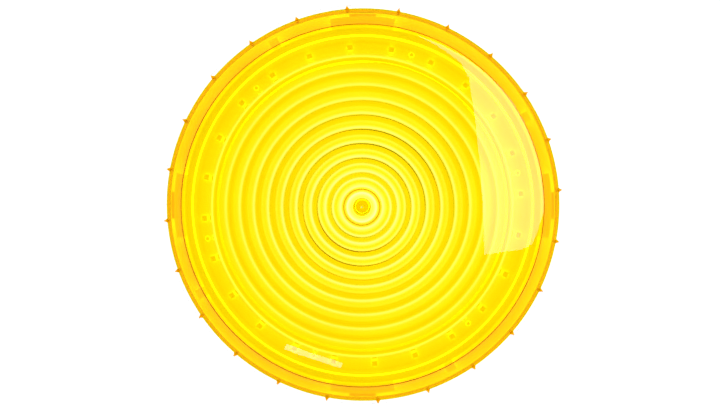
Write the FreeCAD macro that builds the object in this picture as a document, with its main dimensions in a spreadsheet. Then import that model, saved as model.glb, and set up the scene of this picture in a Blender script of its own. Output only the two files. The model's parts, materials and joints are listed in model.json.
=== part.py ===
import FreeCAD, Part
import math
import os
import re
import Sketcher

# Raised pavement marker: a low round base for the road, a lit ring of lamps under a ribbed
# amber lens that twists off, and three cells inside. Millimetres, +Z up, and the origin is
# the middle of the underside.

SIZES = {
    # base housing
    "base_radius": 75.0,
    "base_chamfer": 0.5,
    "base_edge_round": 0.8,
    "flange_top": 4.0,
    "floor_top": 3.0,
    "upstand_inner": 63.6,
    "upstand_outer": 66.0,
    "upstand_top": 11.0,
    "rib_inner": 51.4,
    "rib_outer": 52.8,
    "rib_top": 10.0,
    # bayonet between the base and the lens
    "bayonet_count": 4,
    "ledge_outer": 69.3,
    "ledge_low": 7.0,
    "ledge_high": 8.8,
    "ledge_angle": 19.8,
    "stop_angle": 3.0,
    "stop_turn": -6.0,
    "far_stop_turn": 28.5,
    "lug_inner": 67.0,
    "lug_low": 4.9,
    "lug_high": 6.6,
    "lug_angle": 8.0,
    # seal under the foot of the lens
    "groove_inner": 71.2,
    "groove_outer": 73.2,
    "groove_depth": 0.8,
    "seal_gap": 0.08,
    "seal_top": 4.52,
    "seal_step": 0.1,
    "seal_lip": 0.35,
    # lens
    "lens_radius": 73.5,
    "lens_apex": 25.0,
    "lens_foot": 4.6,
    "dome_radius": 260.0,
    "shoulder_radius": 12.6,
    "lens_wall": 2.6,
    "valley_wall": 1.0,
    "plain_wall": 2.0,
    "ring_start": 5.25,
    "ring_pitch": 5.28,
    "ring_count": 10,
    "bead_width": 3.4,
    "bead_radius": 1.95,
    "small_bead_radius": 1.1,
    "centre_bead_radius": 12.0,
    "step_radius": 62.8,
    "step_wall": 3.2,
    "grip_count": 24,
    "grip_turn": 4.5,
    "grip_tip": 74.6,
    "grip_half_width": 0.8,
    "grip_top": 12.0,
    "grip_top_tip": 71.7,
    # adhesive key under the base
    "key_count": 24,
    "key_depth": 1.2,
    "key_inner": 19.0,
    "key_length": 6.6,
    "key_pitch": 9.0,
    "key_rows": 3,
    "key_web": 1.5,
    "key_land": 56.0,
    # holes for the road fixings
    "fixing_count": 4,
    "fixing_turn": 45.0,
    "fixing_circle": 47.0,
    "fixing_hole": 2.75,
    "fixing_boss": 5.0,
    "fixing_boss_top": 6.0,
    # lamp ring
    "lamp_board_inner": 54.8,
    "lamp_board_outer": 62.6,
    "lamp_board_low": 10.4,
    "board_thickness": 1.2,
    "lamp_count": 24,
    "lamp_circle": 59.0,
    "lamp_side": 2.0,
    "lamp_height": 0.75,
    "lamp_window": 1.5,
    "resistor_count": 12,
    "stake_count": 6,
    "stake_turn": 12.0,
    "stake_post": 1.6,
    "stake_pin": 0.8,
    "stake_top": 12.1,
    "stake_gap": 0.15,
    "lamp_recess": 0.2,
    "lamp_window_depth": 0.15,
    "resistor_length": 1.6,
    "resistor_width": 3.2,
    "resistor_depth": 0.6,
    "resistor_turn": 27.0,
    # reflector dish
    "dish_hole": 2.9,
    "dish_apex": 17.4,
    "dish_dome": 420.0,
    "dish_shelf": 41.0,
    "dish_rim": 54.4,
    "dish_rim_top": 12.8,
    "dish_wall": 1.2,
    "dish_foot": 8.0,
    # battery tray
    "tray_radius": 41.5,
    "tray_floor": 3.8,
    "tray_top": 8.5,
    "tray_hole": 17.2,
    "cell_offset": 24.0,
    "cell_radius": 5.25,
    "cell_body": 43.2,
    "cell_cap_radius": 1.9,
    "cell_cap": 1.2,
    "cell_round": 0.5,
    "bay_length": 52.0,
    "bay_width": 11.1,
    "contact_side": 9.0,
    "contact_thickness": 0.4,
    "spring_radius": 3.0,
    "spring_wire": 0.35,
    "spring_turns": 4,
    "link_length": 17.0,
    "link_width": 3.0,
    "tray_screw_circle": 35.8,
    "tray_screw_turn": 75.0,
    "tray_screw_seat": 5.0,
    "tray_screw_low": 0.9,
    # control board
    "control_radius": 15.5,
    "control_low": 8.0,
    "control_screw_circle": 12.2,
    "control_screw_turn": 30.0,
    "screw_count": 3,
    "pilot_depth": 4.0,
    "screw_gap": 0.05,
    "chip_x": -7.5,
    "chip_y": -1.0,
    "chip_length": 5.0,
    "chip_width": 6.0,
    "chip_height": 1.6,
    "socket_x": 7.5,
    "socket_y": -4.0,
    "socket_length": 3.6,
    "socket_width": 6.4,
    "socket_height": 3.4,
    "coil_x": 3.5,
    "coil_y": 9.0,
    "coil_radius": 2.6,
    "coil_height": 2.4,
    "capacitor_x": -4.5,
    "capacitor_y": 8.0,
    "capacitor_radius": 2.5,
    "capacitor_height": 3.6,
    "standoff_radius": 2.2,
    "screw_radius": 1.0,
    "screw_head_radius": 1.9,
    "screw_head": 1.3,
    "screw_length": 4.5,
    "tray_screw_radius": 1.2,
    "tray_screw_head_radius": 2.3,
    "tray_screw_head": 1.8,
    "sensor_tube_inner": 1.9,
    "sensor_tube_outer": 2.7,
    "sensor_seat": 15.6,
    "sensor_radius": 2.5,
    "sensor_height": 1.9,
    "sensor_round": 0.5,
    # slide switch in the floor
    "switch_circle": 47.0,
    "switch_length": 12.0,
    "switch_width": 5.4,
    "switch_top": 8.0,
    "switch_bay_length": 8.4,
    "switch_bay_width": 3.0,
    "switch_bay_top": 5.6,
    "slider_length": 5.0,
    "slider_width": 2.4,
    "slider_low": 3.2,
    "slider_top": 5.2,
    "knob_side": 1.8,
    "knob_low": 0.6,
    "switch_travel": 2.4,
    "slot_length": 5.4,
    "slot_width": 2.6,
    "finger_length": 14.0,
    "finger_width": 6.6,
    "finger_depth": 1.6,
    "terminal_pitch": 3.0,
    "terminal_length": 1.2,
    "terminal_width": 0.5,
    "terminal_height": 2.0,
    # vent and leads
    "vent_radius": 3.0,
    "vent_head_radius": 4.2,
    "vent_head": 1.2,
    "vent_depth": 1.6,
    "lead_radius": 0.6,
    "lead_rise": 2.6,
    "lead_half_gap": 1.0,
    "lamp_lead_start": 9.5,
    "lamp_lead_dip": 45.0,
    "lamp_lead_low": 48.0,
    "lamp_lead_height": 4.6,
    "lamp_lead_end": 57.5,
    "lead_notch_length": 4.0,
    "lead_notch_width": 4.4,
    "lead_notch_height": 4.0,
    "lamp_lead_turn": 150.0,
    "battery_lead_turn": 30.0,
    "battery_lead_end": 7.5,
    "battery_lead_out": 3.4,
    "switch_lead_start": 13.2,
    "switch_lead_half_gap": 2.7,
}

doc = FreeCAD.newDocument("PavementMarker")
sheet = doc.addObject("Spreadsheet::Sheet", "Sizes")
parts = []


def fill_sheet():
    for row, (name, value) in enumerate(SIZES.items(), start=1):
        sheet.set(f"A{row}", name)
        sheet.set(f"B{row}", str(value))
        sheet.setAlias(f"B{row}", name)
    doc.recompute()


def bound(text):
    """The text as an expression: every dimension's name becomes its cell in the sheet."""
    return re.sub(
        r"[a-z][a-z_0-9]*",
        lambda found: f"Sizes.{found.group()}" if found.group() in SIZES else found.group(),
        text,
    )


def size(text):
    """The value of an expression over the sheet's dimensions, in millimetres or degrees."""
    value = sheet.evalExpression(bound(text))
    return float(getattr(value, "Value", value))


# ---- making pieces -------------------------------------------------------------------------


def new_body(label):
    body = doc.addObject("PartDesign::Body", label)
    body.Label = label
    parts.append(body)
    return body


def new_sketch(body, plane="XY_Plane", height="0", turn="0"):
    """A sketch on a plane of the body: raised to a height, and turned about the Z axis."""
    sketch = body.newObject("Sketcher::SketchObject", f"{body.Label}_sketch")
    origin_plane = next(f for f in body.Origin.OriginFeatures if f.Role == plane)
    sketch.AttachmentSupport = (origin_plane, [""])
    sketch.MapMode = "FlatFace"
    flat = plane == "XY_Plane"
    spin_axis = FreeCAD.Vector(0, 0, 1) if flat else FreeCAD.Vector(0, 1, 0)
    sketch.AttachmentOffset = FreeCAD.Placement(
        FreeCAD.Vector(0, 0, 0), FreeCAD.Rotation(spin_axis, size(turn))
    )
    if flat:
        sketch.setExpression("AttachmentOffset.Base.z", bound(height))
    return sketch


def pin_point(sketch, edge, end, x, y):
    """Holds one end of an edge at (x, y), both given as expressions."""
    for kind, text in (("DistanceX", x), ("DistanceY", y)):
        index = sketch.addConstraint(Sketcher.Constraint(kind, -1, 1, edge, end, size(text)))
        sketch.setExpression(f"Constraints[{index}]", bound(text))


def arc_between(start, end, radius):
    """The short arc from start to end. A positive radius puts its centre on the left."""
    half = (end - start) * 0.5
    reach = math.sqrt(max(radius**2 - half.Length**2, 0.0))
    side = FreeCAD.Vector(-half.y, half.x, 0).normalize() * math.copysign(reach, radius)
    centre = start + half + side
    first = math.atan2(start.y - centre.y, start.x - centre.x)
    last = math.atan2(end.y - centre.y, end.x - centre.x)
    if radius < 0:
        first, last = last, first
    circle = Part.Circle(centre, FreeCAD.Vector(0, 0, 1), abs(radius))
    return Part.ArcOfCircle(circle, first, last)


def outline(sketch, points, arcs=None):
    """A closed outline through the points. arcs gives the radius of each edge that is round."""
    arcs = arcs or {}
    corners = [FreeCAD.Vector(size(x), size(y), 0) for x, y in points]
    first = sketch.GeometryCount
    count = len(points)
    for i in range(count):
        start = corners[i]
        end = corners[(i + 1) % count]
        if i in arcs:
            radius = size(arcs[i])
            sketch.addGeometry(arc_between(start, end, radius), False)
            text = arcs[i] if radius > 0 else f"-({arcs[i]})"
            index = sketch.addConstraint(
                Sketcher.Constraint("Radius", first + i, abs(radius))
            )
            sketch.setExpression(f"Constraints[{index}]", bound(text))
        else:
            sketch.addGeometry(Part.LineSegment(start, end), False)
    ends = [(2, 1) if i in arcs and size(arcs[i]) < 0 else (1, 2) for i in range(count)]
    for i, (x, y) in enumerate(points):
        after = (i + 1) % count
        sketch.addConstraint(
            Sketcher.Constraint("Coincident", first + i, ends[i][1], first + after, ends[after][0])
        )
        pin_point(sketch, first + i, ends[i][0], x, y)


def box_outline(sketch, x, y, length, width):
    """A rectangle centred on (x, y)."""
    left, right = f"{x} - ({length}) / 2", f"{x} + ({length}) / 2"
    low, high = f"{y} - ({width}) / 2", f"{y} + ({width}) / 2"
    outline(sketch, [(left, low), (right, low), (right, high), (left, high)])


def ring_outline(sketch, x, y, radius):
    """A full circle centred on (x, y)."""
    circle = Part.Circle(FreeCAD.Vector(size(x), size(y), 0), FreeCAD.Vector(0, 0, 1), size(radius))
    edge = sketch.addGeometry(circle, False)
    index = sketch.addConstraint(Sketcher.Constraint("Radius", edge, size(radius)))
    sketch.setExpression(f"Constraints[{index}]", bound(radius))
    pin_point(sketch, edge, 3, x, y)


def axis_of(body, role="Z_Axis"):
    return (next(f for f in body.Origin.OriginFeatures if f.Role == role), [""])


def add_feature(body, kind, sketch, **settings):
    feature = body.newObject(f"PartDesign::{kind}", f"{body.Label}_{kind.lower()}")
    feature.Profile = sketch
    for name, value in settings.items():
        if isinstance(value, str):
            feature.setExpression(name, bound(value))
        else:
            setattr(feature, name, value)
    body.Tip = feature
    return feature


def pad(body, sketch, length, **settings):
    return add_feature(body, "Pad", sketch, Length=length, **settings)


def pocket_up(body, sketch, depth):
    """Cuts from the sketch upwards, and makes sure that something was cut."""
    doc.recompute()
    before = body.Shape.Volume
    feature = add_feature(body, "Pocket", sketch, Length=depth, Reversed=True)
    doc.recompute()
    if body.Shape.Volume > before - 0.01:
        raise RuntimeError(f"{feature.Label} cuts nothing")
    return feature


def turned(body, sketch, angle="360", **settings):
    return add_feature(
        body, "Revolution", sketch, ReferenceAxis=(sketch, ["V_Axis"]), Angle=angle, **settings
    )


def polar(body, features, count):
    """Repeats the features evenly about the body's Z axis."""
    pattern = body.newObject("PartDesign::PolarPattern", f"{body.Label}_pattern")
    pattern.Originals = features
    pattern.Axis = axis_of(body)
    pattern.Angle = 360
    pattern.setExpression("Occurrences", bound(count))
    body.Tip = pattern
    return pattern


def turned_piece(label, points, arcs=None):
    """A body made by turning one outline about the Z axis."""
    body = new_body(label)
    sketch = new_sketch(body, "XZ_Plane")
    outline(sketch, points, arcs)
    turned(body, sketch)
    return body


def slab(label, shapes, low, height, turn="0"):
    """A body padded from the outlines that shapes(sketch) draws, from a low height upwards."""
    body = new_body(label)
    sketch = new_sketch(body, height=low, turn=turn)
    shapes(sketch)
    pad(body, sketch, height)
    return body


# ---- base housing --------------------------------------------------------------------------


def base_profile():
    return turned_piece(
        "base_housing",
        [
            ("0", "0"),
            ("base_radius - base_chamfer", "0"),
            ("base_radius", "base_chamfer"),
            ("base_radius", "flange_top - base_edge_round"),
            ("base_radius - base_edge_round", "flange_top"),
            ("groove_outer", "flange_top"),
            ("groove_outer", "flange_top - groove_depth"),
            ("groove_inner", "flange_top - groove_depth"),
            ("groove_inner", "flange_top"),
            ("upstand_outer", "flange_top"),
            ("upstand_outer", "upstand_top"),
            ("upstand_inner", "upstand_top"),
            ("upstand_inner", "floor_top"),
            ("rib_outer", "floor_top"),
            ("rib_outer", "rib_top"),
            ("rib_inner", "rib_top"),
            ("rib_inner", "floor_top"),
            ("0", "floor_top"),
        ],
        {3: "base_edge_round"},
    )


def bayonet_block(body, low, high, angle, turn="0"):
    """A short arc of ledge on the outside of the upstand."""
    sketch = new_sketch(body, "XZ_Plane", turn=turn)
    inner, outer = "upstand_outer - 0.5", "ledge_outer"
    outline(sketch, [(inner, low), (outer, low), (outer, high), (inner, high)])
    return turned(body, sketch, angle=angle, Midplane=True)


def base_bayonet(body):
    ledge = bayonet_block(body, "ledge_low", "ledge_high", "ledge_angle")
    stop = bayonet_block(body, "flange_top - 0.2", "ledge_high", "stop_angle", "stop_turn")
    far_stop = bayonet_block(
        body, "flange_top - 0.2", "ledge_low", "stop_angle", "far_stop_turn"
    )
    polar(body, [ledge, stop, far_stop], "bayonet_count")


def base_adhesive_key(body):
    """Rows of shallow pockets under the base, which the road adhesive fills."""
    rows = []
    inner_ends = [f"(key_inner + {row} * key_pitch)" for row in range(int(size("key_rows")))]
    for inner in inner_ends + ["key_land"]:
        outer = f"({inner} + key_length)"
        sketch = new_sketch(body)
        inner_half = f"({inner} * tan(180 / key_count) - key_web / 2)"
        outer_half = f"({outer} * tan(180 / key_count) - key_web / 2)"
        near = [(inner, inner_half), (inner, f"-{inner_half}")]
        far = [(outer, f"-{outer_half}"), (outer, outer_half)]
        outline(sketch, near + far)
        rows.append(pocket_up(body, sketch, "key_depth"))
    polar(body, rows, "key_count")


def base_post(body, circle, turn, radius, top):
    """One round post standing on the floor."""
    sketch = new_sketch(body, height="floor_top - 0.5", turn=turn)
    ring_outline(sketch, circle, "0", radius)
    return pad(body, sketch, f"{top} - floor_top + 0.5")


def base_posts(body):
    """Bosses for the fixings, standoffs for the boards and pins that hold the lamp ring."""
    boss = base_post(body, "fixing_circle", "fixing_turn", "fixing_boss", "fixing_boss_top")
    polar(body, [boss], "fixing_count")
    standoff = base_post(
        body, "control_screw_circle", "control_screw_turn", "standoff_radius", "control_low"
    )
    polar(body, [standoff], "screw_count")
    stakes = [
        base_post(body, "lamp_circle", "stake_turn", "stake_post", "lamp_board_low"),
        base_post(body, "lamp_circle", "stake_turn", "stake_pin", "stake_top"),
    ]
    polar(body, stakes, "stake_count")


def base_round_hole(body, circle, turn, radius, low, high, count="1"):
    """Round holes from a low height to a high one, evenly spaced on a circle."""
    sketch = new_sketch(body, height=low, turn=turn)
    ring_outline(sketch, circle, "0", radius)
    hole = pocket_up(body, sketch, f"{high} - ({low})")
    if size(count) > 1:
        polar(body, [hole], count)


def base_holes(body):
    base_round_hole(
        body, "fixing_circle", "fixing_turn", "fixing_hole", "0", "fixing_boss_top", "fixing_count"
    )
    pilot_low = "control_low - pilot_depth"
    base_round_hole(
        body, "control_screw_circle", "control_screw_turn", "screw_radius",
        pilot_low, "control_low", "screw_count",
    )
    base_round_hole(
        body, "tray_screw_circle", "tray_screw_turn", "tray_screw_radius",
        "tray_screw_low", "floor_top", "screw_count",
    )
    base_round_hole(body, "switch_circle", "90", "vent_radius", "0", "floor_top")


def base_switch_opening(body):
    """A slot for the switch's knob, in a recess that a fingertip reaches."""
    for length, width, depth in (
        ("finger_length", "finger_width", "finger_depth"),
        ("slot_length", "slot_width", "floor_top"),
    ):
        sketch = new_sketch(body)
        box_outline(sketch, "0", "-switch_circle", length, width)
        pocket_up(body, sketch, depth)


def base_lead_notch(body):
    """A notch through the inner rib for the lamp leads."""
    sketch = new_sketch(body, height="floor_top", turn="lamp_lead_turn")
    middle = "(rib_inner + rib_outer) / 2"
    box_outline(sketch, middle, "0", "lead_notch_length", "lead_notch_width")
    pocket_up(body, sketch, "lead_notch_height")


def make_base():
    body = base_profile()
    base_bayonet(body)
    base_adhesive_key(body)
    base_posts(body)
    base_holes(body)
    base_switch_opening(body)
    base_lead_notch(body)


def make_seal():
    inner = "groove_inner + seal_gap"
    outer = "groove_outer - seal_gap"
    bottom = "flange_top - groove_depth"
    shoulder = "flange_top - seal_step"
    turned_piece(
        "lens_seal",
        [
            (inner, bottom),
            (outer, bottom),
            (outer, shoulder),
            (f"{outer} - seal_lip", "seal_top"),
            (f"{inner} + seal_lip", "seal_top"),
            (inner, shoulder),
        ],
    )


# ---- lens ----------------------------------------------------------------------------------

DOME_CENTRE = "(lens_apex - dome_radius)"
SHOULDER_RADIUS = "(lens_radius - shoulder_radius)"
SHOULDER_CENTRE = (
    f"({DOME_CENTRE} + sqrt((dome_radius - shoulder_radius) ^ 2 - {SHOULDER_RADIUS} ^ 2))"
)


def dome_point(radius, wall):
    """A point of the dome, a wall's thickness inside its outer face."""
    return radius, f"{DOME_CENTRE} + sqrt((dome_radius - {wall}) ^ 2 - ({radius}) ^ 2)"


def shoulder_start(wall):
    """Where the dome runs into the round shoulder, on the face at this wall thickness."""
    share = f"(dome_radius - {wall}) / (dome_radius - shoulder_radius)"
    return (
        f"{SHOULDER_RADIUS} * {share}",
        f"{DOME_CENTRE} + ({SHOULDER_CENTRE} - {DOME_CENTRE}) * {share}",
    )


def lens_profile():
    """The section of the lens: smooth outside, with round beads inside like a ring lens."""
    points = [
        ("0", "lens_apex"),
        shoulder_start("0"),
        ("lens_radius", SHOULDER_CENTRE),
        ("lens_radius", "lens_foot"),
        ("lens_radius - lens_wall", "lens_foot"),
        ("lens_radius - lens_wall", SHOULDER_CENTRE),
        shoulder_start("lens_wall"),
        dome_point("step_radius", "step_wall"),
        dome_point("step_radius", "plain_wall"),
    ]
    arcs = {
        0: "-dome_radius",
        1: "-shoulder_radius",
        5: "shoulder_radius - lens_wall",
    }
    last = int(size("ring_count"))
    points.append(dome_point(f"ring_start + {last} * ring_pitch", "plain_wall"))
    for ring in reversed(range(last)):
        bead_start = f"ring_start + {ring} * ring_pitch"
        bead_end = f"{bead_start} + bead_width"
        next_start = f"ring_start + {ring + 1} * ring_pitch"
        if ring == last - 1:
            points.append(dome_point(next_start, "valley_wall"))
        arcs[len(points) - 1] = "-small_bead_radius"
        points.append(dome_point(bead_end, "valley_wall"))
        arcs[len(points) - 1] = "-bead_radius"
        points.append(dome_point(bead_start, "valley_wall"))
    arcs[len(points) - 1] = "-centre_bead_radius"
    points.append(("0", "lens_apex - valley_wall - 1.2"))
    return turned_piece("lens_cover", points, arcs)


def lens_grips(body):
    """Small triangular ribs round the skirt, for the fingers."""
    foot = new_sketch(body, height="lens_foot", turn="grip_turn")
    root = "lens_radius - 1"
    outline(foot, [(root, "-grip_half_width"), ("grip_tip", "0"), (root, "grip_half_width")])
    top = new_sketch(body, height="grip_top", turn="grip_turn")
    top_root = "grip_top_tip - 1.5"
    half = "grip_half_width / 2"
    outline(top, [(top_root, f"-{half}"), ("grip_top_tip", "0"), (top_root, half)])
    rib = body.newObject("PartDesign::AdditiveLoft", "lens_grip")
    rib.Profile = foot
    rib.Sections = [top]
    rib.Ruled = True
    body.Tip = rib
    polar(body, [rib], "grip_count")


def lens_lugs(body):
    """The lugs that turn under the base's ledges."""
    sketch = new_sketch(body, "XZ_Plane")
    inner, outer = "lug_inner", "lens_radius - lens_wall + 0.4"
    below = [(inner, "lug_low"), (outer, "lug_low")]
    above = [(outer, "lug_high"), (inner, "lug_high")]
    outline(sketch, below + above)
    lug = turned(body, sketch, angle="lug_angle", Midplane=True)
    polar(body, [lug], "bayonet_count")


def make_lens():
    body = lens_profile()
    lens_grips(body)
    lens_lugs(body)


# ---- lamp ring and dish --------------------------------------------------------------------


def make_lamp_board():
    def shapes(sketch):
        ring_outline(sketch, "0", "0", "lamp_board_outer")
        ring_outline(sketch, "0", "0", "lamp_board_inner")
        for stake in range(int(size("stake_count"))):
            angle = f"({stake} * 360 / stake_count)"
            ring_outline(
                sketch,
                f"lamp_circle * cos({angle})",
                f"lamp_circle * sin({angle})",
                "stake_pin + stake_gap",
            )

    slab("lamp_board", shapes, "lamp_board_low", "board_thickness", turn="stake_turn")


def ring_of_boxes(label, circle, low, height, length, width, count, turn):
    """Equal small boxes, evenly spaced on a circle: one solid each."""

    def shapes(sketch):
        box_outline(sketch, circle, "0", length, width)

    body = slab(label, shapes, low, height, turn)
    polar(body, [body.Tip], count)
    return body


def make_lamps():
    top = "lamp_board_low + board_thickness"
    recess_floor = f"{top} + lamp_height - lamp_recess"
    body = ring_of_boxes(
        "lamps", "lamp_circle", top, "lamp_height",
        "lamp_side", "lamp_side", "lamp_count", "grip_turn",
    )
    sketch = new_sketch(body, height=recess_floor, turn="grip_turn")
    box_outline(sketch, "lamp_circle", "0", "lamp_window", "lamp_window")
    window = pocket_up(body, sketch, "lamp_recess")
    polar(body, [window], "lamp_count")
    ring_of_boxes(
        "lamp_windows", "lamp_circle", recess_floor, "lamp_window_depth",
        "lamp_window", "lamp_window", "lamp_count", "grip_turn",
    )


def make_resistors():
    ring_of_boxes(
        "lamp_resistors", "lamp_circle", "lamp_board_low - resistor_depth", "resistor_depth",
        "resistor_length", "resistor_width", "resistor_count", "resistor_turn",
    )


def make_dish():
    inner_dome = "dish_dome - dish_wall"
    centre = "(dish_apex - dish_dome)"
    turned_piece(
        "reflector_dish",
        [
            ("dish_hole", f"{centre} + sqrt(dish_dome ^ 2 - dish_hole ^ 2)"),
            ("dish_hole", f"{centre} + sqrt(({inner_dome}) ^ 2 - dish_hole ^ 2)"),
            ("dish_shelf", f"{centre} + sqrt(({inner_dome}) ^ 2 - dish_shelf ^ 2)"),
            ("dish_rim - dish_wall", "dish_rim_top - dish_wall"),
            ("dish_rim - dish_wall", "dish_foot"),
            ("dish_rim", "dish_foot"),
            ("dish_rim", "dish_rim_top"),
            ("dish_shelf", f"{centre} + sqrt(dish_dome ^ 2 - dish_shelf ^ 2)"),
        ],
        {1: f"-({inner_dome})", 7: "dish_dome"},
    )


# ---- battery -------------------------------------------------------------------------------


def make_tray():
    """A round block with three long bays in a triangle and a hole for the control board."""

    def shapes(sketch):
        ring_outline(sketch, "0", "0", "tray_radius")
        ring_outline(sketch, "0", "0", "tray_hole")

    low = "floor_top + 0.05"
    body = slab("battery_tray", shapes, low, f"tray_top - ({low})")
    sketch = new_sketch(body, height="tray_floor", turn="90")
    box_outline(sketch, "cell_offset", "0", "bay_width", "bay_length")
    bay = pocket_up(body, sketch, "tray_top - tray_floor")
    polar(body, [bay], "screw_count")
    clear_hole = ("tray_screw_radius + 0.2", low)
    counterbore = ("tray_screw_head_radius + 0.3", "tray_screw_seat")
    for radius, bottom in (clear_hole, counterbore):
        sketch = new_sketch(body, height=bottom, turn="tray_screw_turn")
        ring_outline(sketch, "tray_screw_circle", "0", radius)
        hole = pocket_up(body, sketch, f"tray_top - ({bottom})")
        polar(body, [hole], "screw_count")


def on_bay(index, along, height):
    """The place of a piece in a bay: its Z axis runs along the bay, towards the cell's cap."""
    foot = 90.0 + 120.0 * index
    turn = FreeCAD.Rotation(FreeCAD.Vector(0, 0, 1), foot)
    lie_down = FreeCAD.Rotation(FreeCAD.Vector(1, 0, 0), -90)
    where = turn.multVec(FreeCAD.Vector(size("cell_offset"), size(along), size(height)))
    return FreeCAD.Placement(where, turn.multiply(lie_down))


CELL_HEIGHT = "tray_floor + 0.1 + cell_radius"
BAY_END = "(bay_length / 2)"


def make_cell(index):
    cell = turned_piece(
        f"battery_cell_{index + 1}",
        [
            ("0", "0"),
            ("cell_radius - cell_round", "0"),
            ("cell_radius", "cell_round"),
            ("cell_radius", "cell_body - cell_round"),
            ("cell_radius - cell_round", "cell_body"),
            ("cell_cap_radius", "cell_body"),
            ("cell_cap_radius", "cell_body + cell_cap"),
            ("0", "cell_body + cell_cap"),
        ],
        {1: "cell_round", 3: "cell_round"},
    )
    start = f"{BAY_END} - contact_thickness - 0.1 - cell_body - cell_cap"
    cell.Placement = on_bay(index, start, CELL_HEIGHT)


def make_contact(label, index, along):
    """A flat contact plate across the end of a bay."""
    plate = slab(
        f"{label}_{index + 1}",
        lambda sketch: box_outline(sketch, "0", "0", "contact_side", "contact_side"),
        "0",
        "contact_thickness",
    )
    plate.Placement = on_bay(index, along, CELL_HEIGHT)


def make_spring(index):
    """A coil that pushes the cell against its far contact."""
    body = new_body(f"contact_spring_{index + 1}")
    sketch = new_sketch(body, "XZ_Plane")
    ring_outline(sketch, "spring_radius", "0", "spring_wire")
    coil = body.newObject("PartDesign::AdditiveHelix", f"{body.Label}_coil")
    coil.Profile = sketch
    coil.ReferenceAxis = (sketch, ["V_Axis"])
    coil.Mode = "height-turns-angle"
    room = "(bay_length - cell_body - cell_cap - 2 * contact_thickness - 0.1)"
    coil.setExpression("Height", bound(f"{room} - 2 * spring_wire - 0.2"))
    coil.setExpression("Turns", bound("spring_turns"))
    body.Tip = coil
    body.Placement = on_bay(index, f"contact_thickness + spring_wire + 0.1 - {BAY_END}", CELL_HEIGHT)


def make_link(index):
    """A strap over the tray that joins one cell's cap to the next cell's spring."""
    vertex = 150.0 + 120.0 * index
    strap = slab(
        f"link_strap_{index + 1}",
        lambda sketch: box_outline(sketch, "0", "0", "link_width", "link_length"),
        "0",
        "contact_thickness",
    )
    reach = math.hypot(size("cell_offset"), size(BAY_END)) + 0.3
    turn = FreeCAD.Rotation(FreeCAD.Vector(0, 0, 1), vertex)
    height = size(CELL_HEIGHT) + size("contact_side") / 2 + 0.02
    strap.Placement = FreeCAD.Placement(turn.multVec(FreeCAD.Vector(reach, 0, height)), turn)


def make_battery():
    make_tray()
    for index in range(3):
        make_cell(index)
        make_contact("positive_contact", index, f"{BAY_END} - contact_thickness")
        make_contact("negative_contact", index, f"-{BAY_END}")
        make_spring(index)
    for index in range(2):
        make_link(index)


# ---- control board and its parts -----------------------------------------------------------


def ring_of_screws(label, circle, turn, seat, shank, head, head_height, length):
    """Three pan-head screws, their heads sitting at the seat's height."""

    def shapes(sketch):
        ring_outline(sketch, circle, "0", shank)

    body = slab(label, shapes, f"{seat} - ({length})", length, turn)
    shank_pad = body.Tip
    sketch = new_sketch(body, height=seat, turn=turn)
    ring_outline(sketch, circle, "0", head)
    head_pad = pad(body, sketch, head_height)
    sketch = new_sketch(body, height=f"{seat} + {head_height} / 2", turn=turn)
    box_outline(sketch, circle, "0", f"{head} * 1.1", f"{head} * 0.3")
    slot = pocket_up(body, sketch, f"{head_height} / 2")
    box = new_sketch(body, height=f"{seat} + {head_height} / 2", turn=turn)
    box_outline(box, circle, "0", f"{head} * 0.3", f"{head} * 1.1")
    cross_slot = pocket_up(body, box, f"{head_height} / 2")
    polar(body, [shank_pad, head_pad, slot, cross_slot], "screw_count")


CONTROL_TOP = "(control_low + board_thickness)"


def make_control_board():
    def shapes(sketch):
        ring_outline(sketch, "0", "0", "control_radius")
        for corner in range(int(size("screw_count"))):
            angle = f"({corner} * 360 / screw_count)"
            ring_outline(
                sketch,
                f"control_screw_circle * cos({angle})",
                f"control_screw_circle * sin({angle})",
                "screw_radius + 2 * screw_gap",
            )

    slab("control_board", shapes, "control_low", "board_thickness", turn="control_screw_turn")


def board_block(label, part, height):
    """A square-cornered component that stands on the control board."""

    def shapes(sketch):
        box_outline(sketch, f"{part}_x", f"{part}_y", f"{part}_length", f"{part}_width")

    slab(label, shapes, CONTROL_TOP, height)


def board_can(label, part, height):
    """A round component that stands on the control board."""

    def shapes(sketch):
        ring_outline(sketch, f"{part}_x", f"{part}_y", f"{part}_radius")

    slab(label, shapes, CONTROL_TOP, height)


def make_board_parts():
    board_block("control_chip", "chip", "chip_height")
    board_block("lead_plug_socket", "socket", "socket_height")
    board_can("driver_coil", "coil", "coil_height")
    board_can("smoothing_capacitor", "capacitor", "capacitor_height")


def make_sensor():
    """A light sensor on a stalk, in the hole in the middle of the dish."""

    def tube(sketch):
        ring_outline(sketch, "0", "0", "sensor_tube_outer")
        ring_outline(sketch, "0", "0", "sensor_tube_inner")

    slab("sensor_stalk", tube, CONTROL_TOP, f"sensor_seat - {CONTROL_TOP}")
    turned_piece(
        "light_sensor",
        [
            ("0", "sensor_seat"),
            ("sensor_radius", "sensor_seat"),
            ("sensor_radius", "sensor_seat + sensor_height - sensor_round"),
            ("sensor_radius - sensor_round", "sensor_seat + sensor_height"),
            ("0", "sensor_seat + sensor_height"),
        ],
        {2: "sensor_round"},
    )


def make_screws():
    ring_of_screws(
        "board_screws", "control_screw_circle", "control_screw_turn", CONTROL_TOP,
        "screw_radius - screw_gap", "screw_head_radius", "screw_head", "screw_length",
    )
    ring_of_screws(
        "tray_screws", "tray_screw_circle", "tray_screw_turn", "tray_screw_seat",
        "tray_screw_radius - screw_gap", "tray_screw_head_radius", "tray_screw_head",
        "tray_screw_seat - tray_screw_low",
    )


# ---- switch --------------------------------------------------------------------------------


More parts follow.
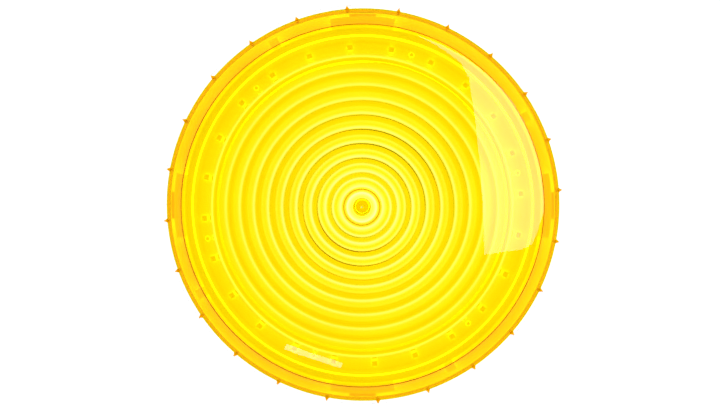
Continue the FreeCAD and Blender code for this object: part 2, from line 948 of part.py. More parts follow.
def make_switch():
    body = slab(
        "switch_body",
        lambda sketch: box_outline(sketch, "0", "-switch_circle", "switch_length", "switch_width"),
        "floor_top",
        "switch_top - floor_top",
    )
    sketch = new_sketch(body, height="floor_top")
    box_outline(sketch, "0", "-switch_circle", "switch_bay_length", "switch_bay_width")
    pocket_up(body, sketch, "switch_bay_top - floor_top")


def make_slider():
    """The switch's sliding block and its knob, at the off end of the travel."""
    at = "-switch_travel / 2"
    body = slab(
        "switch_slider",
        lambda sketch: box_outline(sketch, at, "-switch_circle", "slider_length", "slider_width"),
        "slider_low",
        "slider_top - slider_low",
    )
    sketch = new_sketch(body, height="knob_low")
    box_outline(sketch, at, "-switch_circle", "knob_side", "knob_side")
    pad(body, sketch, "slider_low + 0.4 - knob_low")


def make_switch_terminals():
    body = new_body("switch_terminals")
    sketch = new_sketch(body, height="switch_top")
    for x in ("-terminal_pitch", "0", "terminal_pitch"):
        box_outline(sketch, x, "-switch_circle", "terminal_length", "terminal_width")
    pad(body, sketch, "terminal_height")


# ---- vent and leads ------------------------------------------------------------------------


def make_vent():
    """A breather plug in the floor, with its head inside."""
    body = slab(
        "vent_plug",
        lambda sketch: ring_outline(sketch, "0", "switch_circle", "vent_radius - screw_gap"),
        "floor_top - vent_depth",
        "vent_depth",
    )
    sketch = new_sketch(body, height="floor_top")
    ring_outline(sketch, "0", "switch_circle", "vent_head_radius")
    pad(body, sketch, "vent_head")


def rounded_path(corners, bend):
    """Straight runs joined by tangent arcs."""
    edges = []
    start = corners[0]
    for before, corner, after in zip(corners, corners[1:], corners[2:]):
        back = (before - corner).normalize()
        ahead = (after - corner).normalize()
        half_turn = (math.pi - back.getAngle(ahead)) / 2
        trim = bend * math.tan(half_turn)
        enter = corner + back * trim
        leave = corner + ahead * trim
        to_centre = (back + ahead).normalize()
        middle = corner + to_centre * (bend / math.cos(half_turn) - bend)
        edges.append(Part.LineSegment(start, enter).toShape())
        edges.append(Part.Arc(enter, middle, leave).toShape())
        start = leave
    edges.append(Part.LineSegment(start, corners[-1]).toShape())
    return Part.Wire(edges)


def make_lead(label, points, bend=1.6):
    """A round insulated wire through the points, bent by tangent arcs."""
    corners = [FreeCAD.Vector(*point) for point in points]
    path = rounded_path(corners, bend)
    circle = Part.Circle(corners[0], corners[1] - corners[0], size("lead_radius"))
    section = Part.Wire([circle.toShape()])
    lead = doc.addObject("Part::Feature", label)
    lead.Label = label
    lead.Shape = path.makePipeShell([section], True, False)
    parts.append(lead)


def from_polar(angle, radius, side, height):
    """A point given by its distance out along an angle, and how far it lies to the left."""
    turn = math.radians(angle)
    return (
        radius * math.cos(turn) - side * math.sin(turn),
        radius * math.sin(turn) + side * math.cos(turn),
        height,
    )


LEAD_LIFT = 0.05


def make_lamp_lead(colour, side):
    """From the control board over the tray, down through the notch and up to the lamp ring."""
    turn = size("lamp_lead_turn")
    start = size("lamp_lead_start")
    end = size("lamp_lead_end")
    top = size(CONTROL_TOP) + LEAD_LIFT
    over = top + size("lead_rise")
    low = size("lamp_lead_height")
    make_lead(
        f"lamp_lead_{colour}",
        [
            from_polar(turn, start, side, top),
            from_polar(turn, start, side, over),
            from_polar(turn, size("lamp_lead_dip"), side, over),
            from_polar(turn, size("lamp_lead_low"), side, low),
            from_polar(turn, end, side, low),
            from_polar(turn, end, side, size("lamp_board_low") - LEAD_LIFT),
        ],
    )


def make_battery_lead(colour, side):
    """From the end contact of a bay to the control board."""
    turn = size("battery_lead_turn")
    lean = math.radians(turn)
    bay_end = size(BAY_END) + LEAD_LIFT
    out = size("cell_offset") * math.sin(lean) + bay_end * math.cos(lean)
    plate_side = size("cell_offset") * math.cos(lean) - bay_end * math.sin(lean)
    top = size(CONTROL_TOP) + LEAD_LIFT
    over = top + size("lead_rise")
    bend_out = size("battery_lead_out")
    end = size("battery_lead_end")
    sign = math.copysign(1, side)
    make_lead(
        f"battery_lead_{colour}",
        [
            from_polar(turn, out, sign * plate_side, over),
            from_polar(turn, out + bend_out - 0.5, sign * (plate_side - 1.7), over),
            from_polar(turn, out + bend_out, side, over),
            from_polar(turn, end, side, over),
            from_polar(turn, end, side, top),
        ],
        bend=1.0,
    )


def make_switch_lead(colour, side):
    """From the control board over the tray and down to a terminal of the switch."""
    start = size("switch_lead_start")
    end = size("switch_circle")
    near_side = side * size("switch_lead_half_gap")
    far_side = side * size("terminal_pitch")
    top = size(CONTROL_TOP) + LEAD_LIFT
    over = top + size("lead_rise")
    terminal_top = size("switch_top + terminal_height") + LEAD_LIFT
    make_lead(
        f"switch_lead_{colour}",
        [
            from_polar(270, start, near_side, top),
            from_polar(270, start, near_side, over),
            from_polar(270, end, far_side, over),
            from_polar(270, end, far_side, terminal_top),
        ],
        bend=0.9,
    )


def make_leads():
    """Pairs of wires from the control board to the battery, the lamp ring and the switch."""
    half_gap = size("lead_half_gap")
    for sign, colour in ((-1, "red"), (1, "black")):
        make_lamp_lead(colour, sign * half_gap)
        make_battery_lead(colour, sign * half_gap)
        make_switch_lead(colour, sign)


# ---- checking and writing ------------------------------------------------------------------


def check_parts():
    for item in doc.Objects:
        if any(word in item.State for word in ("Invalid", "Error")):
            raise RuntimeError(f"{item.Label} did not recompute: {item.State}")
    for part in parts:
        if part.Shape.isNull() or not part.Shape.isValid() or not part.Shape.Solids:
            raise RuntimeError(f"{part.Label} has no valid solid")
        box = part.Shape.BoundBox
        print(
            f"{part.Label:22s} solids {len(part.Shape.Solids):3d} volume {part.Shape.Volume:10.1f}"
            f"  z {box.ZMin:6.2f} to {box.ZMax:6.2f}"
        )


def write_parts():
    os.makedirs("parts", exist_ok=True)
    for part in parts:
        part.Shape.exportStep(f"parts/{part.Label}.step")


fill_sheet()
make_base()
make_seal()
make_lens()
make_lamp_board()
make_lamps()
make_resistors()
make_dish()
make_battery()
make_control_board()
make_board_parts()
make_sensor()
make_screws()
make_switch()
make_slider()
make_switch_terminals()
make_vent()
make_leads()
doc.recompute()
check_parts()
write_parts()
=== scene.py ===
import json
import math

import bpy
from mathutils import Matrix, Vector


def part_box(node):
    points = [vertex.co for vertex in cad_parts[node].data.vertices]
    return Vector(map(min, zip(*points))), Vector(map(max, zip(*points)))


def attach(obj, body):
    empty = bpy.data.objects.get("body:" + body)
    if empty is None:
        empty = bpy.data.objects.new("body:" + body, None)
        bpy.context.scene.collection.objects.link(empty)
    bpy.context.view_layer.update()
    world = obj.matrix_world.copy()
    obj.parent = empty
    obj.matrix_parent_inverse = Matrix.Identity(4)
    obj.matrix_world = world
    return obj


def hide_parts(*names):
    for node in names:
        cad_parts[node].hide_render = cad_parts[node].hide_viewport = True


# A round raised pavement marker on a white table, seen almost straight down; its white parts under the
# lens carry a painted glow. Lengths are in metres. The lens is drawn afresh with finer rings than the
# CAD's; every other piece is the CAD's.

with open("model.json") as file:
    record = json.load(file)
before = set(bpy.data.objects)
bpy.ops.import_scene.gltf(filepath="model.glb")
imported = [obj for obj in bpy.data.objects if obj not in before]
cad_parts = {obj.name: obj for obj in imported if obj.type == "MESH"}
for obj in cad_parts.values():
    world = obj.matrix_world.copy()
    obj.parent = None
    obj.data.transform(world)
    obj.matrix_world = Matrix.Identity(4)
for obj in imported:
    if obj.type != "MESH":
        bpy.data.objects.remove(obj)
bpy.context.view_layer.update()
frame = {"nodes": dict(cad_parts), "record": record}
lens_low, lens_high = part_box("lens_cover")

MM = 0.001
WHITE = (1.0, 1.0, 1.0)

# ---- the lens: sizes ---------------------------------------------------------------------------

APEX = lens_high.z
FOOT = lens_low.z
RIM = 73.5 * MM
DOME_RADIUS = 260.0 * MM
SHOULDER = 12.6 * MM
SHOULDER_WALL = 2.0 * MM
SKIRT_WALL = 1.35 * MM
DOME_CENTRE = APEX - DOME_RADIUS
SHOULDER_X = RIM - SHOULDER
SHOULDER_Z = DOME_CENTRE + math.sqrt((DOME_RADIUS - SHOULDER) ** 2 - SHOULDER_X**2)
DOME_EDGE = SHOULDER_X * DOME_RADIUS / (DOME_RADIUS - SHOULDER)
INNER_SHOULDER_START = math.radians(52)
INNER_SHOULDER_THINNED = math.radians(32)
DOME_STEPS = 22
SHOULDER_STEPS = 16
INNER_SHOULDER_STEPS = 14
SMOOTH_ANGLE = math.radians(38)

RING_START = 5.3 * MM
RING_PITCH = 5.2 * MM
RING_COUNT = 10
RINGS_END = 56.3 * MM
BAND_WALL = 1.06 * MM
RIDGE_WALL = 0.75 * MM
RIDGE_SHARE = 0.8

GRIP_COUNT = 24
GRIP_TURN = math.radians(4.5)
GRIP_TIP = 74.6 * MM
GRIP_HALF_WIDTH = 0.8 * MM
GRIP_TOP_ANGLE = math.radians(13.0)
GRIP_TOP = SHOULDER_Z + SHOULDER * math.sin(GRIP_TOP_ANGLE)
STEPS_BETWEEN_GRIPS = 11

LUG_COUNT = 4
LUG_ANGLE = math.radians(8.0)
LUG_INNER = 67.0 * MM
LUG_OUTER = 70.85 * MM
LUG_LOW = 4.9 * MM
LUG_HIGH = 6.6 * MM
LUG_STEPS = 6


def ease(start, end, share):
    """A change from start to end as share goes from 0 to 1, gentle at both ends."""
    curve = (share + (1 - math.cos(math.pi * share)) / 2) / 2
    return start + (end - start) * curve


def near_valley(ring):
    """The wall in the thin valley where a ring starts, thinnest near the middle of the lens."""
    return (0.13 + 0.088 * ring) * MM


def wide_valley(ring):
    """The wall in a ring's wide valley."""
    return (0.21 + 0.003 * ring**2) * MM


def outer_height(radius):
    """The height of the lens's outer face at a distance from its axis."""
    if radius < DOME_EDGE:
        return DOME_CENTRE + math.sqrt(DOME_RADIUS**2 - radius**2)
    return SHOULDER_Z + math.sqrt(max(SHOULDER**2 - (radius - SHOULDER_X) ** 2, 0.0))


def shoulder_point(reach, angle):
    """A point at a reach and angle from the middle of the shoulder's arc."""
    return SHOULDER_X + reach * math.cos(angle), SHOULDER_Z + reach * math.sin(angle)


def shoulder_angles():
    """The angles down the outer shoulder: to the top of the grip ribs, just below it, then on
    to the skirt."""
    lean = math.atan2(outer_height(DOME_EDGE) - SHOULDER_Z, DOME_EDGE - SHOULDER_X)
    turn = GRIP_TOP_ANGLE - lean
    above_grips = [lean + turn * i / SHOULDER_STEPS for i in range(1, SHOULDER_STEPS + 1)]
    return above_grips + [GRIP_TOP_ANGLE * share for share in (0.985, 0.66, 0.33, 0.0)]


def outer_section():
    """The outer face, from the middle of the dome down to the foot of the skirt."""
    radii = [DOME_EDGE * i / DOME_STEPS for i in range(DOME_STEPS + 1)]
    dome = [(radius, outer_height(radius)) for radius in radii]
    shoulder = [shoulder_point(SHOULDER, angle) for angle in shoulder_angles()]
    return dome + shoulder + [(RIM, FOOT)]


def flank(start, end, first_wall, last_wall, steps=6):
    """Points across part of a ring, from one wall to another."""
    shares = [i / steps for i in range(steps + 1)]
    return [(start + (end - start) * i, ease(first_wall, last_wall, i)) for i in shares]


def ridge_rise(start, valley_wall, ridge_wall, steps=5):
    """Points up the slow hollow slope from a wide valley to the ridge."""
    shares = [i / steps for i in range(1, steps + 1)]
    reach, rise = RIDGE_SHARE - start, ridge_wall - valley_wall
    return [(start + reach * i, valley_wall + rise * i**1.6) for i in shares]


def ring_walls(ring):
    """One ring of the inner face as (share of the pitch, wall): a thin valley, a thick band,
    a wide thin valley, and a ridge before the next ring. The inner terms make the band thinner
    and narrower near the middle. In ring 0 it is only a crease, whose sides overlap a little."""
    inner = 0.5**ring
    valley = 0.58 - 0.13 * inner
    band_start = 0.23 + 0.03 * inner
    band_end = valley - 0.28 + 0.06 * inner
    band = BAND_WALL + (0.028 * ring - 0.2 * inner) * MM
    thick = band + 0.14 * MM * (1 - inner)
    wide, after = wide_valley(ring), near_valley(ring + 1)
    ridge_wall = max(RIDGE_WALL, 0.9 * after)
    walls = flank(0.0, band_start, near_valley(ring), band)
    walls += flank(band_end, valley, thick, wide)
    walls += ridge_rise(valley, wide, ridge_wall)
    walls += flank(RIDGE_SHARE, 1.0, ridge_wall, after, steps=4)[1:-1]
    return walls


def edge_walls():
    """The plain zone outside the rings, as (radius, wall) in mm: shallow steps, then the shoulder."""
    steps = [(57.0, 0.9), (58.0, 1.05), (59.6, 1.1), (60.3, 1.35), (61.2, 1.05), (62.4, 0.95)]
    steps += [(63.2, 1.05), (64.2, 1.15), (65.4, 1.12), (66.4, 1.28), (66.8, 1.4), (66.84, 2.3)]
    return [(radius * MM, wall * MM) for radius, wall in steps]


def button_walls():
    """The middle of the inner face, as (radius, wall) in mm: a fine thin point at the centre of a
    thick round button, then the thin wall round the button."""
    steps = [(0.0, 0.22), (0.3, 0.25), (0.36, 1.2), (0.6, 1.4), (1.2, 1.44), (2.0, 1.44), (3.0, 1.44)]
    steps += [(3.08, 1.44), (3.16, 1.42), (3.22, 0.5), (3.3, 0.46), (3.8, 0.4), (4.5, 0.26)]
    return [(radius * MM, wall * MM) for radius, wall in steps]


def inner_shoulder():
    """The inner side of the shoulder, its wall thinning towards the skirt."""
    points = []
    for i in range(INNER_SHOULDER_STEPS + 1):
        angle = INNER_SHOULDER_START * (1 - i / INNER_SHOULDER_STEPS)
        turned = (INNER_SHOULDER_START - angle) / (INNER_SHOULDER_START - INNER_SHOULDER_THINNED)
        wall = ease(SHOULDER_WALL, SKIRT_WALL, min(turned, 1.0))
        points.append(shoulder_point(SHOULDER - wall, angle))
    return points


def inner_section():
    """The inner face, from the middle of the dome out to the foot of the skirt."""
    walls = button_walls()
    for ring in range(RING_COUNT):
        start = RING_START + ring * RING_PITCH
        walls += [(start + share * RING_PITCH, wall) for share, wall in ring_walls(ring)]
    walls = [(radius, wall) for radius, wall in walls if radius < RINGS_END] + edge_walls()
    dome = [(radius, outer_height(radius) - wall) for radius, wall in walls]
    return dome + inner_shoulder() + [(RIM - SKIRT_WALL, FOOT)]


# ---- making meshes -----------------------------------------------------------------------------


def new_piece(name, vertices, faces, material, body):
    """A smooth-shaded mesh that rides on a CAD body."""
    mesh = bpy.data.meshes.new(name)
    mesh.from_pydata(vertices, [], faces)
    mesh.validate()
    mesh.shade_smooth()
    mesh.set_sharp_from_angle(angle=SMOOTH_ANGLE)
    mesh.materials.append(material)
    piece = bpy.data.objects.new(name, mesh)
    bpy.context.scene.collection.objects.link(piece)
    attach(piece, body)
    return piece


def grip_angles():
    """Angles round the lens, each with 1 at the tip of a grip rib and 0 elsewhere. Every rib has
    three: its two feet and its tip."""
    half = GRIP_HALF_WIDTH / RIM
    sector = 2 * math.pi / GRIP_COUNT
    gap = sector - 2 * half
    angles = []
    for grip in range(GRIP_COUNT):
        middle = GRIP_TURN + grip * sector
        angles += [(middle - half, 0.0), (middle, 1.0)]
        for i in range(STEPS_BETWEEN_GRIPS + 1):
            angles.append((middle + half + gap * i / (STEPS_BETWEEN_GRIPS + 1), 0.0))
    return angles


def grip_push(radius, height):
    """How far a grip rib stands out of the skirt at a height."""
    return GRIP_TIP - radius if height < GRIP_TOP - 0.01 * MM else 0.0


def round_axis(radius, angle, height):
    """A point at a radius, an angle and a height about the lens's axis."""
    return radius * math.cos(angle), radius * math.sin(angle), height


def lens_vertices(outside, section, angles):
    """One vertex at each end of the section, on the axis, and a circle for each point between."""
    vertices = [(0.0, 0.0, section[0][1])]
    for index, (radius, height) in enumerate(section[1:-1], start=1):
        push = grip_push(radius, height) if index < len(outside) else 0.0
        for angle, grip in angles:
            vertices.append(round_axis(radius + grip * push, angle, height))
    vertices.append((0.0, 0.0, section[-1][1]))
    return vertices


def lens_faces(rows, turns):
    """Triangles round the two ends on the axis, and squares between the circles."""
    last = 1 + rows * turns
    faces = []
    for i in range(turns):
        after = (i + 1) % turns
        faces.append((0, 1 + i, 1 + after))
        faces.append((last, last - turns + after, last - turns + i))
    for row in range(rows - 1):
        first = 1 + row * turns
        for i in range(turns):
            after = (i + 1) % turns
            faces.append((first + i, first + turns + i, first + turns + after, first + after))
    return faces


def lens_mesh():
    """The lens as one closed shell turned about Z, with the grip ribs pulled out of its skirt."""
    outside = outer_section()
    section = outside + inner_section()[::-1]
    angles = grip_angles()
    faces = lens_faces(len(section) - 2, len(angles))
    return lens_vertices(outside, section, angles), faces


def add_lug(vertices, faces, middle):
    """One bayonet lug, as a short square bar bent round the axis."""
    corners = [(LUG_INNER, LUG_LOW), (LUG_OUTER, LUG_LOW), (LUG_OUTER, LUG_HIGH), (LUG_INNER, LUG_HIGH)]
    base = len(vertices)
    for step in range(LUG_STEPS + 1):
        angle = middle + LUG_ANGLE * (step / LUG_STEPS - 0.5)
        vertices += [round_axis(radius, angle, height) for radius, height in corners]
    for step in range(LUG_STEPS):
        for side in range(4):
            a = base + step * 4 + side
            b = base + step * 4 + (side + 1) % 4
            faces.append((a, b, b + 4, a + 4))
    faces.append(tuple(base + side for side in (3, 2, 1, 0)))
    faces.append(tuple(base + LUG_STEPS * 4 + side for side in range(4)))


def add_lugs(vertices, faces):
    """The bayonet lugs, just inside the skirt."""
    for lug in range(LUG_COUNT):
        add_lug(vertices, faces, lug * 2 * math.pi / LUG_COUNT)


def make_lens():
    """The amber lens, which takes the place of the CAD's plainer one."""
    vertices, faces = lens_mesh()
    add_lugs(vertices, faces)
    lens = new_piece("clear_lens", vertices, faces, amber_plastic(), "lens")
    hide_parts("lens_cover")


# ---- materials ---------------------------------------------------------------------------------


NOISE_ROUGHNESS = 0.55


class Look:
    """A node material with a Principled shader, and short ways to add detail to it."""

    def __init__(self, name, **inputs):
        self.material = bpy.data.materials.new(name)
        self.material.use_nodes = True
        self.tree = self.material.node_tree
        self.shader = self.tree.nodes["Principled BSDF"]
        self.place = self.tree.nodes.new("ShaderNodeTexCoord").outputs["Object"]
        for key, value in inputs.items():
            self.set(key.replace("_", " "), value)

    def set(self, socket, value):
        """Gives a socket of the shader a fixed value."""
        self.shader.inputs[socket].default_value = value

    def link(self, source, socket):
        """Feeds a socket of the shader from another node."""
        self.tree.links.new(source, self.shader.inputs[socket])

    def node(self, kind, **inputs):
        """A new node, each of its inputs linked or given a fixed value."""
        made = self.tree.nodes.new(kind)
        for key, value in inputs.items():
            socket = made.inputs[key.replace("_", " ")]
            if isinstance(value, bpy.types.NodeSocket):
                self.tree.links.new(value, socket)
            else:
                socket.default_value = value
        return made

    def noise(self, scale, detail=4.0, squeeze=(1, 1, 1)):
        """A noise value over the object, with its features squeezed along the axes."""
        mapped = self.node("ShaderNodeMapping", Vector=self.place, Scale=squeeze).outputs["Vector"]
        made = self.node("ShaderNodeTexNoise", Vector=mapped, Scale=scale, Detail=detail)
        made.inputs["Roughness"].default_value = NOISE_ROUGHNESS
        return made.outputs["Fac"]

    def spread(self, value, low, high, start=0.35, end=0.65):
        """The value mapped from start..end to low..high."""
        made = self.node("ShaderNodeMapRange", Value=value)
        made.inputs["From Min"].default_value = start
        made.inputs["From Max"].default_value = end
        made.inputs["To Min"].default_value = low
        made.inputs["To Max"].default_value = high
        return made.outputs["Result"]

    def blend(self, share, first, second):
        """A colour between two, by a share from 0 to 1."""
        made = self.tree.nodes.new("ShaderNodeMix")
        made.data_type = "RGBA"
        self.tree.links.new(share, made.inputs["Factor"])
        for socket, value in ((made.inputs[6], first), (made.inputs[7], second)):
            if isinstance(value, bpy.types.NodeSocket):
                self.tree.links.new(value, socket)
            else:
                socket.default_value = (*value, 1.0)
        return made.outputs[2]

    def height_share(self, low, high):
        """0 below the low height, 1 above the high one."""
        split = self.node("ShaderNodeSeparateXYZ", Vector=self.place)
        return self.spread(split.outputs["Z"], 0.0, 1.0, low, high)

    def radius(self):
        """The distance from the marker's axis."""
        flat = self.node("ShaderNodeVectorMath", Vector=self.place)
        flat.operation = "MULTIPLY"
        flat.inputs[1].default_value = (1, 1, 0)
        length = self.tree.nodes.new("ShaderNodeVectorMath")
        length.operation = "LENGTH"
        self.tree.links.new(flat.outputs["Vector"], length.inputs[0])
        return length.outputs["Value"]

    def upward(self):
        """How far the face looks up: 1 for a level top, 0 for an upright side."""
        facing = self.tree.nodes.new("ShaderNodeNewGeometry").outputs["Normal"]
        return self.node("ShaderNodeSeparateXYZ", Vector=facing).outputs["Z"]

    def larger(self, first, second):
        """The larger of two values."""
        made = self.tree.nodes.new("ShaderNodeMath")
        made.operation = "MAXIMUM"
        self.tree.links.new(first, made.inputs[0])
        self.tree.links.new(second, made.inputs[1])
        return made.outputs["Value"]

    def bump(self, value, strength, depth):
        """Fine relief: its depth is in metres."""
        made = self.node("ShaderNodeBump", Height=value, Strength=strength, Distance=depth)
        self.link(made.outputs["Normal"], "Normal")


def tint_rim(look):
    """A clear yellow coat on the rim only, so the white table's reflection there stays amber."""
    look.link(look.spread(look.radius(), 0.0, 1.0, 66.5 * MM, 68.5 * MM), "Coat Weight")
    look.set("Coat IOR", 1.0)
    look.set("Coat Roughness", 0.0)
    look.set("Coat Tint", (1.0, 1.0, 0.25, 1.0))


def add_dye(look):
    """The dye inside the plastic, which takes out nearly all the blue in one millimetre of wall."""
    dye = look.tree.nodes.new("ShaderNodeVolumeAbsorption")
    dye.inputs["Color"].default_value = (0.9914, 0.9525, 0.0, 1)
    dye.inputs["Density"].default_value = 7000.0
    look.tree.links.new(dye.outputs["Volume"], look.tree.nodes["Material Output"].inputs["Volume"])


def amber_plastic():
    """Clear amber polycarbonate with faint scuffs and a slight moulded ripple."""
    look = Look("amber_plastic", Base_Color=(*WHITE, 1.0), Transmission_Weight=1.0, IOR=1.56)
    look.set("Specular Tint", (1.0, 0.92, 0.6, 1.0))
    tint_rim(look)
    scuffs = look.noise(900, detail=6.0)
    look.link(look.spread(scuffs, 0.0, 0.025, 0.45, 0.75), "Roughness")
    look.bump(look.noise(60, detail=2.0), 0.05, 0.0002)
    add_dye(look)
    return look.material


def add_painted_glow(look, strength, colour=WHITE, share=None):
    """Painted glow: a weak emission on the white surfaces inside the lens, standing in for the bright
    light that comes in through it.
    """
    # Painted glow: this emission stands in for light falling on the part; the part is no lamp.
    look.set("Emission Color", (*colour, 1.0))
    drift = look.spread(look.noise(40, detail=2.0), strength * 0.97, strength * 1.03)
    if share is None:
        look.link(drift, "Emission Strength")
        return
    product = look.tree.nodes.new("ShaderNodeMath")
    product.operation = "MULTIPLY"
    look.tree.links.new(drift, product.inputs[0])
    look.tree.links.new(share, product.inputs[1])
    look.link(product.outputs[0], "Emission Strength")


def white_housing():
    """Satin white plastic: road dust low on the edge, faint scuffs, and a painted glow inside the lens and
    on every face that looks up.
    """
    look = Look("white_housing", IOR=1.5)
    mottle = look.blend(look.spread(look.noise(220), 0.0, 1.0), (0.80, 0.80, 0.78), (0.88, 0.88, 0.87))
    dust = look.blend(look.height_share(0.0, 1.6 * MM), (0.55, 0.53, 0.49), (0.9, 0.9, 0.88))
    dirty = look.blend(look.spread(look.noise(350, detail=6.0), 0.0, 0.5, 0.5, 0.8), mottle, dust)
    look.link(dirty, "Base Color")
    look.link(look.spread(look.noise(500), 0.32, 0.5), "Roughness")
    look.bump(look.noise(2500, detail=3.0), 0.15, 0.0001)
    # Painted glow and painted top light: emission inside the lens's radius and on faces that look up, so
    # these read brightly lit.
    inside = look.spread(look.radius(), 1.0, 0.0, 70.5 * MM, 72.0 * MM)
    upward = look.spread(look.upward(), 0.0, 1.2, 0.6, 0.9)
    add_painted_glow(look, 0.8, share=look.larger(inside, upward))
    return look.material


def painted_glow_plastic(name, first, second, strength, colour=WHITE):
    """Pale plastic inside the lens, with a painted glow standing in for the light that comes in through
    the lens.
    """

    def make():
        look = Look(name, Roughness=0.35, IOR=1.5)
        look.link(look.blend(look.spread(look.noise(180), 0.0, 1.0), first, second), "Base Color")
        look.bump(look.noise(1500), 0.1, 0.0001)
        # Painted glow: an emission standing in for light, not a lamp.
        add_painted_glow(look, strength, colour)
        return look.material

    return make


def moulded(name, first, second, low=0.35, high=0.55):
    """Moulded plastic or rubber between two shades, with a fine grain. Its roughness runs from
    low to high."""

    def make():
        look = Look(name, IOR=1.48)
        look.link(look.blend(look.spread(look.noise(260), 0.0, 1.0), first, second), "Base Color")
        look.link(look.spread(look.noise(480), low, high), "Roughness")
        look.bump(look.noise(1200, detail=5.0), 0.25, 0.0001)
        return look.material

    return make


def plated(name, first, second, low=0.18, high=0.38, squeeze=(1, 1, 12)):
    """Bare or plated metal with drawn lines. Its roughness runs from low to high."""

    def make():
        look = Look(name, Metallic=1.0)
        lines = look.noise(700, detail=5.0, squeeze=squeeze)
        look.link(look.blend(look.spread(lines, 0.0, 1.0), first, second), "Base Color")
        look.link(look.spread(look.noise(300), low, high), "Roughness")
        look.bump(lines, 0.2, 0.00005)
        return look.material

    return make


def cell_sleeve():
    """A printed foil sleeve: a dark blue body with a copper-coloured end, and no words."""
    look = Look("cell_sleeve", Metallic=0.6)
    band = look.height_share(8.9 * MM, 9.1 * MM)
    sleeve = look.blend(look.spread(look.noise(200), 0.0, 1.0), (0.04, 0.09, 0.18), (0.06, 0.13, 0.24))
    look.link(look.blend(band, sleeve, (0.55, 0.24, 0.1)), "Base Color")
    look.link(look.spread(look.noise(600), 0.22, 0.4), "Roughness")
    look.bump(look.noise(500), 0.1, 0.0001)
    return look.material


def control_green():
    """Green solder mask over copper tracks."""
    look = Look("control_green", Roughness=0.35)
    cells = look.node("ShaderNodeTexVoronoi", Vector=look.place, Scale=500.0)
    cells.distance = "MANHATTAN"
    tracks = look.spread(cells.outputs["Distance"], 0.0, 1.0, 0.35, 0.42)
    look.link(look.blend(tracks, (0.02, 0.16, 0.07), (0.04, 0.26, 0.12)), "Base Color")
    look.bump(tracks, 0.3, 0.00003)
    return look.material


LOOKS = {
    "housing_white": white_housing,
    # These pale parts under the lens carry a painted glow (emission standing in for light).
    "seal_silicone": painted_glow_plastic("seal_silicone", (0.74, 0.74, 0.7), (0.84, 0.84, 0.8), 0.7),
    "dish_white": painted_glow_plastic("dish_white", (0.86, 0.86, 0.85), (0.92, 0.92, 0.91), 1.1),
    "board_white": painted_glow_plastic("board_white", (0.84, 0.84, 0.82), (0.9, 0.9, 0.88), 1.05),
    "lamp_case": painted_glow_plastic("lamp_case", (0.78, 0.75, 0.64), (0.87, 0.85, 0.75), 0.92, (1.0, 0.93, 0.75)),
    "lamp_phosphor": painted_glow_plastic("lamp_phosphor", (0.9, 0.7, 0.12), (0.98, 0.82, 0.25), 0.95, (1.0, 0.9, 0.5)),
    "component_dark": moulded("component_dark", (0.02, 0.02, 0.022), (0.045, 0.045, 0.05)),
    "tray_grey": moulded("tray_grey", (0.5, 0.51, 0.52), (0.62, 0.63, 0.64)),
    "cell_sleeve": cell_sleeve,
    "contact_nickel": plated("contact_nickel", (0.62, 0.6, 0.56), (0.75, 0.73, 0.69)),
    "control_green": control_green,
    "socket_cream": moulded("socket_cream", (0.74, 0.7, 0.6), (0.84, 0.8, 0.7)),
    "capacitor_can": plated("capacitor_can", (0.6, 0.61, 0.62), (0.74, 0.75, 0.76)),
    "stalk_white": painted_glow_plastic("stalk_white", (0.84, 0.84, 0.82), (0.9, 0.9, 0.89), 0.95),
    "sensor_window": painted_glow_plastic("sensor_window", (0.85, 0.8, 0.66), (0.93, 0.9, 0.8), 1.0),
    "screw_steel": plated("screw_steel", (0.5, 0.5, 0.5), (0.68, 0.68, 0.69), 0.25, 0.45, (6, 6, 1)),
    "switch_black": moulded("switch_black", (0.02, 0.02, 0.02), (0.05, 0.05, 0.05)),
    "knob_grey": moulded("knob_grey", (0.25, 0.26, 0.27), (0.36, 0.37, 0.38)),
    "terminal_tin": plated("terminal_tin", (0.6, 0.6, 0.58), (0.78, 0.78, 0.76)),
    "vent_rubber": moulded("vent_rubber", (0.02, 0.02, 0.02), (0.04, 0.04, 0.04), 0.6, 0.8),
    "lead_red": moulded("lead_red", (0.42, 0.02, 0.015), (0.6, 0.04, 0.03)),
    "lead_black": moulded("lead_black", (0.012, 0.012, 0.012), (0.03, 0.03, 0.03)),
}


def dress_frame():
    """Gives every CAD node that stays in view the look of its slot."""
    made = {}
    slots = {part["node"]: part["material_slot"] for part in frame["record"]["subparts"]}
    for node, piece in frame["nodes"].items():
        slot = slots[node]
        if slot not in LOOKS:
            continue
        if slot not in made:
            made[slot] = LOOKS[slot]()
        for material_slot in piece.material_slots:
            material_slot.material = made[slot]


# ---- studio ------------------------------------------------------------------------------------

VIEW_TILT = math.radians(2.43)
VIEW_DIRECTION = Vector((0.456, 0.890, 0)).normalized()
VIEW_DISTANCE = 0.7435
VIEW_CENTRE = Vector((-0.93 * MM, 0.81 * MM, 10 * MM))

TABLE_REACH = 6.0
TABLE_GLOW = 0.85
WORLD_BRIGHT_BELOW = math.radians(10)
WORLD_DARK_ABOVE = math.radians(32)
WORLD_BRIGHT = 1.1
WORLD_DARK = 0.02
GLARE_COLOUR = (0.42, 0.48, 1.0)


def make_floor():
    """A very large pale table, bright enough to read as plain white."""
    look = Look("white_table", Roughness=0.6)
    look.link(look.blend(look.noise(30), (0.9, 0.9, 0.9), (0.93, 0.93, 0.93)), "Base Color")
    look.set("Emission Color", (*WHITE, 1.0))
    look.set("Emission Strength", TABLE_GLOW)
    mesh = bpy.data.meshes.new("table")
    corners = [(x * TABLE_REACH, y * TABLE_REACH, 0) for x, y in ((-1, -1), (1, -1), (1, 1), (-1, 1))]
    mesh.from_pydata(corners, [], [(0, 1, 2, 3)])
    mesh.materials.append(look.material)
    table = bpy.data.objects.new("table", mesh)
    bpy.context.scene.collection.objects.link(table)


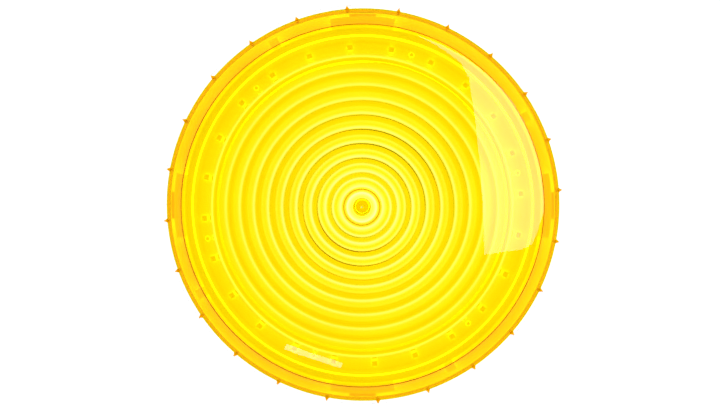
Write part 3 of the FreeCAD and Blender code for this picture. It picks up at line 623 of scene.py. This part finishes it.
def make_world():
    """White low down, for the backdrop, and dark overhead, so the dome shows its own colour."""
    world = bpy.data.worlds.new("studio")
    bpy.context.scene.world = world
    world.use_nodes = True
    tree = world.node_tree
    place = tree.nodes.new("ShaderNodeTexCoord")
    split = tree.nodes.new("ShaderNodeSeparateXYZ")
    fade = tree.nodes.new("ShaderNodeMapRange")
    fade.inputs["From Min"].default_value = math.sin(WORLD_BRIGHT_BELOW)
    fade.inputs["From Max"].default_value = math.sin(WORLD_DARK_ABOVE)
    fade.inputs["To Min"].default_value = WORLD_BRIGHT
    fade.inputs["To Max"].default_value = WORLD_DARK
    tree.links.new(place.outputs["Generated"], split.inputs[0])
    tree.links.new(split.outputs["Z"], fade.inputs["Value"])
    tree.links.new(fade.outputs["Result"], tree.nodes["Background"].inputs["Strength"])
    tree.nodes["Background"].inputs["Color"].default_value = (*WHITE, 1.0)


def add_panel(name, place, size, target, energy, turn=0.0, mirrored=False):
    """A rectangular soft light, seen either as a reflection or by what it lights, not both."""
    light = bpy.data.lights.new(name, "AREA")
    light.shape = "RECTANGLE"
    light.size, light.size_y = size
    light.energy = energy
    panel = bpy.data.objects.new(name, light)
    bpy.context.scene.collection.objects.link(panel)
    panel.location = place
    panel.rotation_euler = (Vector(target) - Vector(place)).to_track_quat("-Z", "Y").to_euler()
    panel.rotation_euler.z += math.radians(turn)
    panel.visible_glossy = mirrored
    panel.visible_diffuse = not mirrored
    panel.visible_transmission = False
    panel.visible_camera = False
    return panel


def make_glare():
    """A soft box above the right and a thin strip in front, both mirrored by the dome. They are
    blue because red and green are already full in the lens, so only added blue can show."""
    above = (1.1, 0.51, 1.0)
    below = (1.1, 0.51, 0.0)
    soft_box = add_panel("soft_box", above, (1.39, 1.39), below, 30.0, turn=3.7, mirrored=True)
    soft_box.data.color = GLARE_COLOUR
    in_front = (-0.27, -0.81, 1.25)
    front_of_dome = (-0.018, -0.057, 0.02)
    strip = add_panel("strip_light", in_front, (0.3, 0.03), front_of_dome, 0.2, mirrored=True)
    strip.data.color = GLARE_COLOUR


def make_fills():
    """Three wide lights round the marker, all aimed at its middle."""
    middle = (0, 0, 0)
    add_panel("fill_right", (0.9, 0.3, 1.1), (0.9, 0.9), middle, 4.0)
    add_panel("fill_left", (-1.1, -0.8, 1.2), (1.2, 1.2), middle, 5.0)
    add_panel("fill_back", (-0.2, 1.4, 1.1), (1.2, 0.8), middle, 3.0)


def make_camera():
    """A long lens almost straight above the marker."""
    camera = bpy.data.cameras.new("camera")
    camera.lens = 100
    camera.sensor_width = 36
    piece = bpy.data.objects.new("camera", camera)
    bpy.context.scene.collection.objects.link(piece)
    back = Vector((0, 0, 1)) * math.cos(VIEW_TILT) + VIEW_DIRECTION * math.sin(VIEW_TILT)
    right = Vector((0, 1, 0)).cross(back).normalized()
    turn = Matrix((right, back.cross(right), back)).transposed().to_4x4()
    piece.matrix_world = Matrix.Translation(VIEW_CENTRE + back * VIEW_DISTANCE) @ turn
    bpy.context.scene.camera = piece


bpy.context.scene.view_settings.view_transform = "Standard"
make_lens()
dress_frame()
make_floor()
make_world()
make_glare()
make_fills()
make_camera()
